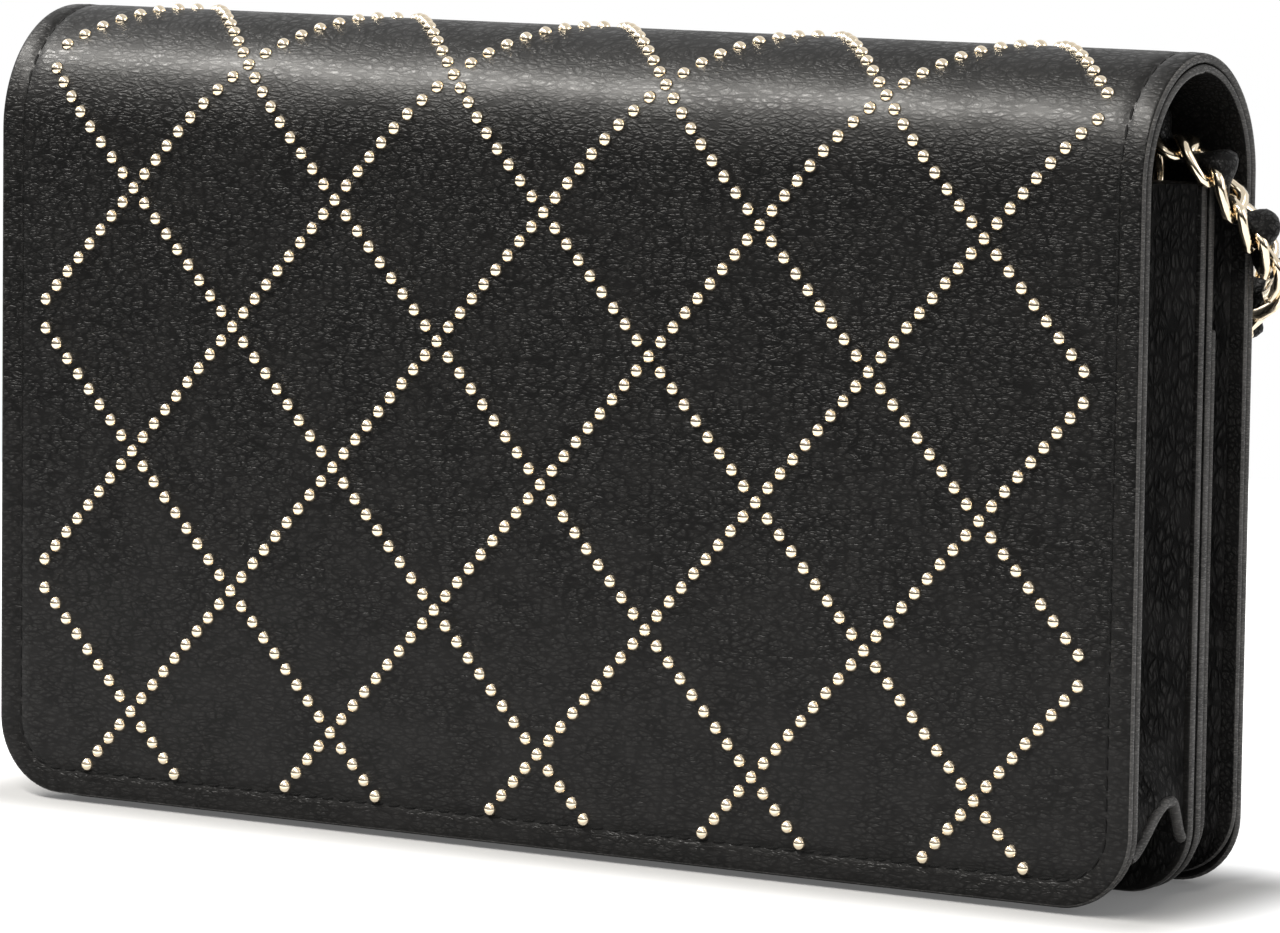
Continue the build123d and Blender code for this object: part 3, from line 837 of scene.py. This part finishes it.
def coil_points():
    """Long turns that rise and draw in a little: along the front, round the left, back and round the right."""
    straight = COIL_RIGHT - COIL_LEFT
    points = []
    for turn in range(COIL_TURNS):
        radius = COIL_RADIUS - (turn + 0.5) * COIL_INSET
        length = 2 * straight + 2 * math.pi * radius
        gone = 0.0
        for centre, start in ((COIL_RIGHT, -90), (COIL_LEFT, 90)):
            other = COIL_LEFT + COIL_RIGHT - centre
            for part in RUN_POINTS:
                share = (gone + part * straight) / length
                r = COIL_RADIUS - (turn + share) * COIL_INSET
                y = COIL_Y + r * math.sin(math.radians(start))
                points.append((centre + (other - centre) * part, y, FLOOR_LINE + (turn + share) * COIL_RISE))
            gone += straight
            for number in range(ARC_POINTS):
                part = (number + 0.5) / ARC_POINTS
                share = (gone + part * math.pi * radius) / length
                r = (COIL_RADIUS - (turn + share) * COIL_INSET) * ROUND_OUT
                angle = math.radians(start - part * 180)
                points.append((other + r * math.cos(angle), COIL_Y + r * math.sin(angle),
                               FLOOR_LINE + (turn + share) * COIL_RISE))
            gone += math.pi * radius
    y = COIL_Y - COIL_RADIUS + COIL_TURNS * COIL_INSET
    z = FLOOR_LINE + COIL_TURNS * COIL_RISE
    points += [(COIL_RIGHT - 8, y, z), (COIL_RIGHT - 42, y, z), (COIL_LEFT - 2, y, z)]
    return points


route = [Vector(p) * MM for p in RIGHT_STRAND + coil_points() + LEFT_STRAND[::-1]]


def smooth_line(name, points):
    """Points along the smooth NURBS curve whose control points are given."""
    curve = bpy.data.curves.new(name, "CURVE")
    curve.dimensions = "3D"
    spline = curve.splines.new("NURBS")
    spline.points.add(len(points) - 1)
    for point, place in zip(spline.points, points):
        point.co = (*place, 1.0)
    spline.order_u = 3
    spline.use_endpoint_u = True
    spline.resolution_u = 12
    holder = bpy.data.objects.new(name, curve)
    bpy.context.scene.collection.objects.link(holder)
    bpy.context.view_layer.update()
    mesh = bpy.data.meshes.new_from_object(holder)
    line = [v.co.copy() for v in mesh.vertices]
    bpy.data.objects.remove(holder)
    return line


strap_line = smooth_line("strap_line", route)
travelled = [0.0]
for first, second in zip(strap_line, strap_line[1:]):
    travelled.append(travelled[-1] + (second - first).length)
STRAP_LENGTH = travelled[-1]
print("strap", round(STRAP_LENGTH, 4), "m in", len(strap_line), "points")

# %% [markdown]
# A curb link is an oval of thick wire that has been twisted, so that each link lies flat on the next.
# One link is spun as a ring, pulled into an oval and twisted, then copied along the line. At every step
# a frame of three directions is carried forward, turned as little as possible from the one before.

# %% Chain
LINK_PITCH = 5.6 * MM
WIRE_WIDE, WIRE_THICK = 1.12 * MM, 0.86 * MM
LINK_LONG, LINK_WIDE = LINK_PITCH / 2 + 0.98 * MM, 3.3 * MM


def carried_frames(line):
    """(point, way, outward) at every point of the line."""
    ways = [(b - a).normalized() for a, b in zip(line, line[1:])]
    ways.append(ways[-1])
    outward = Vector((0, 0, 1))
    frames = []
    for point, way in zip(line, ways):
        outward = (outward - way * outward.dot(way)).normalized()
        frames.append((point, way, outward))
    return frames


strap_frames = carried_frames(strap_line)


def frame_at(distance):
    """The line's frame at a distance along it."""
    distance = min(max(distance, 0.0), STRAP_LENGTH - 1e-6)
    low, high = 0, len(travelled) - 1
    while high - low > 1:
        mid = (low + high) // 2
        low, high = (mid, high) if travelled[mid] <= distance else (low, mid)
    share = (distance - travelled[low]) / (travelled[high] - travelled[low])
    a, b = strap_frames[low], strap_frames[high]
    return tuple(first.lerp(second, share) for first, second in zip(a, b))


def one_link():
    nothing_selected()
    bpy.ops.mesh.primitive_torus_add(major_segments=18, minor_segments=6, major_radius=1.0, minor_radius=0.25)
    link = bpy.context.object
    for vertex in link.data.vertices:
        x, y, z = vertex.co
        reach = math.hypot(x, y)
        cosine, sine = x / reach, y / reach
        wire, rise = (reach - 1.0) / 0.25 * WIRE_WIDE, z / 0.25 * WIRE_THICK
        twist = 1.0 * MM * math.sin(2 * math.atan2(sine, cosine))
        oval = abs(cosine) ** 0.75 * math.copysign(1, cosine), abs(sine) ** 0.85 * math.copysign(1, sine)
        vertex.co = (oval[0] * LINK_LONG + cosine * wire, oval[1] * LINK_WIDE + sine * wire, rise + twist)
    return link


link_places = []
links = int((STRAP_LENGTH - 2 * MM) / LINK_PITCH)
for number in range(links):
    point, way, outward = frame_at((number + 0.5) * STRAP_LENGTH / links)
    link_places.append(facing(point, outward, way))
chain = replicate("strap_chain", one_link(), link_places, polished_gold, 80)
print("links", links, "with", len(chain.data.polygons), "faces")

# %% [markdown]
# The lace is one strip of leather, folded round and threaded over one link and under the next. It swells
# where it comes up through the chain and is squeezed flat where it dives. The tube is built ring by ring
# along the same line.

# %% Lace
LACE_WAVE = 2 * LINK_PITCH
AROUND = 14


def lace_tube():
    steps = int(STRAP_LENGTH / (0.8 * MM))
    points, faces = [], []
    for step in range(steps + 1):
        s = step * STRAP_LENGTH / steps
        point, way, outward = frame_at(s)
        across = outward.cross(way)
        wave = math.sin(2 * math.pi * (s + LINK_PITCH / 2) / LACE_WAVE)
        swell = abs(wave)
        out = 2.2 if wave > 0 else 1.1
        centre = point + outward * (out * MM * wave)
        wide, thick = (1.4 + 1.5 * swell) * MM, (0.9 + (out - 1.0) * swell) * MM
        for number in range(AROUND):
            angle = 2 * math.pi * number / AROUND
            crease = 1 + 0.05 * math.sin(3 * angle + s * 900)
            points.append(centre + across * (wide * crease * math.cos(angle))
                          + outward * (thick * crease * math.sin(angle)))
    for step in range(steps):
        for number in range(AROUND):
            a, b = step * AROUND + number, step * AROUND + (number + 1) % AROUND
            faces.append((a, b, b + AROUND, a + AROUND))
    faces.append(tuple(range(AROUND))[::-1])
    faces.append(tuple(steps * AROUND + n for n in range(AROUND)))
    return points, faces


lace = mesh_piece("strap_lace", *lace_tube(), lace_leather)
for piece in (lace, chain):
    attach(piece, "body")
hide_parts("strap_right", "strap_left", "strap_coil")
print("lace", len(lace.data.polygons))

# %% [markdown]
# The metal and cloth parts keep the CAD's own shapes, and get finishes of their own.

# %% Finishes on the frame's own parts
FITTINGS = {
    polished_gold: ("eyelet_left", "eyelet_right", "strap_ring_right", "strap_ring_left", "zip_teeth",
                    "zip_stops", "snap_post", "snap_socket", "zip_slider", "zip_puller"),
    zip_cloth: ("zip_tape",),
    lining_cloth: ("zip_pocket_bag",),
}
for finish, nodes in FITTINGS.items():
    for node in nodes:
        part = frame["nodes"][node]
        part.data.materials.clear()
        part.data.materials.append(finish)
print("finished parts", sum(len(nodes) for nodes in FITTINGS.values()))

# %% [markdown]
# Light comes from a wide soft box above and in front, which draws one pale band along the rolled top.
# Three weaker boxes fill the left, the right and the front. The floor is plain white and glows, a painted
# light that also lights the wallet from below; the glow fades close round the wallet, a painted shadow
# that lies with the real soft shadow there. The world is white for the camera and dimmer for reflections.

# %% Floor, lights and world
nothing_selected()
bpy.ops.mesh.primitive_circle_add(vertices=96, radius=0.5, fill_type="NGON", location=(0, 0, 0))
floor = bpy.context.object
floor.name = "floor"
white = Finish("white_floor")
away = white.node("ShaderNodeTexCoord", output="Object")
apart = [white.node("ShaderNodeSeparateXYZ", None, {0: away}, axis) for axis in "XY"]
apart = [white.node("ShaderNodeMath", {"operation": "ABSOLUTE"}, {0: share}) for share in apart]
apart = [white.node("ShaderNodeMath", {"operation": "MAXIMUM"}, {0: share - half, 1: 0.0})
         for share, half in zip(apart, (HALF, ROLL))]
# Painted light: the floor glows white away from the wallet, and the glow fades within this width of its foot,
# which paints a shadow there.
PAINTED_SHADOW_WIDE = 22 * MM
glow = ((apart[0] * apart[0] + apart[1] * apart[1]) ** 0.5).step(0.0, PAINTED_SHADOW_WIDE)
white.set(Base_Color=grey(0.16), Roughness=0.8, Emission_Strength=1.0,
          Emission_Color=white.mix(glow, grey(0.12), grey(1.0)))
floor.data.materials.append(white.material)


def soft_box(name, place, aim, wide, deep, power, tint=(1, 1, 1)):
    lamp = bpy.data.lights.new(name, "AREA")
    lamp.shape, lamp.size, lamp.size_y = "RECTANGLE", wide, deep
    lamp.energy, lamp.color = power, tint
    holder = bpy.data.objects.new(name, lamp)
    bpy.context.scene.collection.objects.link(holder)
    holder.location = place
    holder.visible_camera = False
    holder.rotation_euler = (Vector(aim) - Vector(place)).to_track_quat("-Z", "Y").to_euler()
    return holder


soft_box("top_box", (-0.35, -0.55, 1.0), (0, 0, 0.1), 1.8, 0.14, 64, (1.0, 0.97, 0.92))
soft_box("left_box", (-1.1, 0.0, 0.8), (0, 0, 0.05), 1.0, 1.0, 4)
soft_box("right_box", (1.2, 0.3, 0.5), (0, 0, 0.05), 0.8, 0.8, 4)
soft_box("front_fill", (0.9, -1.3, 0.9), (0, 0, 0.05), 0.5, 0.5, 1.2)

world = bpy.data.worlds.new("studio")
bpy.context.scene.world = world
world.use_nodes = True
sky = world.node_tree
sky.nodes.clear()
seen, mirrored = sky.nodes.new("ShaderNodeBackground"), sky.nodes.new("ShaderNodeBackground")
seen.inputs["Strength"].default_value = 1.0
seen.inputs["Color"].default_value = (1, 1, 1, 1)
parts = sky.nodes.new("ShaderNodeSeparateXYZ")
sky.links.new(sky.nodes.new("ShaderNodeTexCoord").outputs["Generated"], parts.inputs[0])


def brighter(axis, start, end, low, high):
    """Strength that rises from low to high as a direction's share of one axis goes from start to end."""
    ramp = sky.nodes.new("ShaderNodeMapRange")
    ramp.interpolation_type = "SMOOTHSTEP"
    for socket, value in (("From Min", start), ("From Max", end), ("To Min", low), ("To Max", high)):
        ramp.inputs[socket].default_value = value
    sky.links.new(parts.outputs[axis], ramp.inputs["Value"])
    return ramp.outputs[0]


both = sky.nodes.new("ShaderNodeMath")
both.operation = "MAXIMUM"
sky.links.new(brighter("Z", 0.05, 0.45, 0.03, 0.7), both.inputs[0])
sky.links.new(brighter("Y", 0.15, 0.55, 0.0, 0.9), both.inputs[1])
sky.links.new(both.outputs[0], mirrored.inputs["Strength"])
mirrored.inputs["Color"].default_value = (1, 1, 1, 1)
path, blend_in, out = (sky.nodes.new("ShaderNode" + kind) for kind in ("LightPath", "MixShader", "OutputWorld"))
sky.links.new(path.outputs["Is Camera Ray"], blend_in.inputs["Fac"])
sky.links.new(mirrored.outputs[0], blend_in.inputs[1])
sky.links.new(seen.outputs[0], blend_in.inputs[2])
sky.links.new(blend_in.outputs[0], out.inputs["Surface"])
bpy.context.scene.view_settings.view_transform = "Standard"
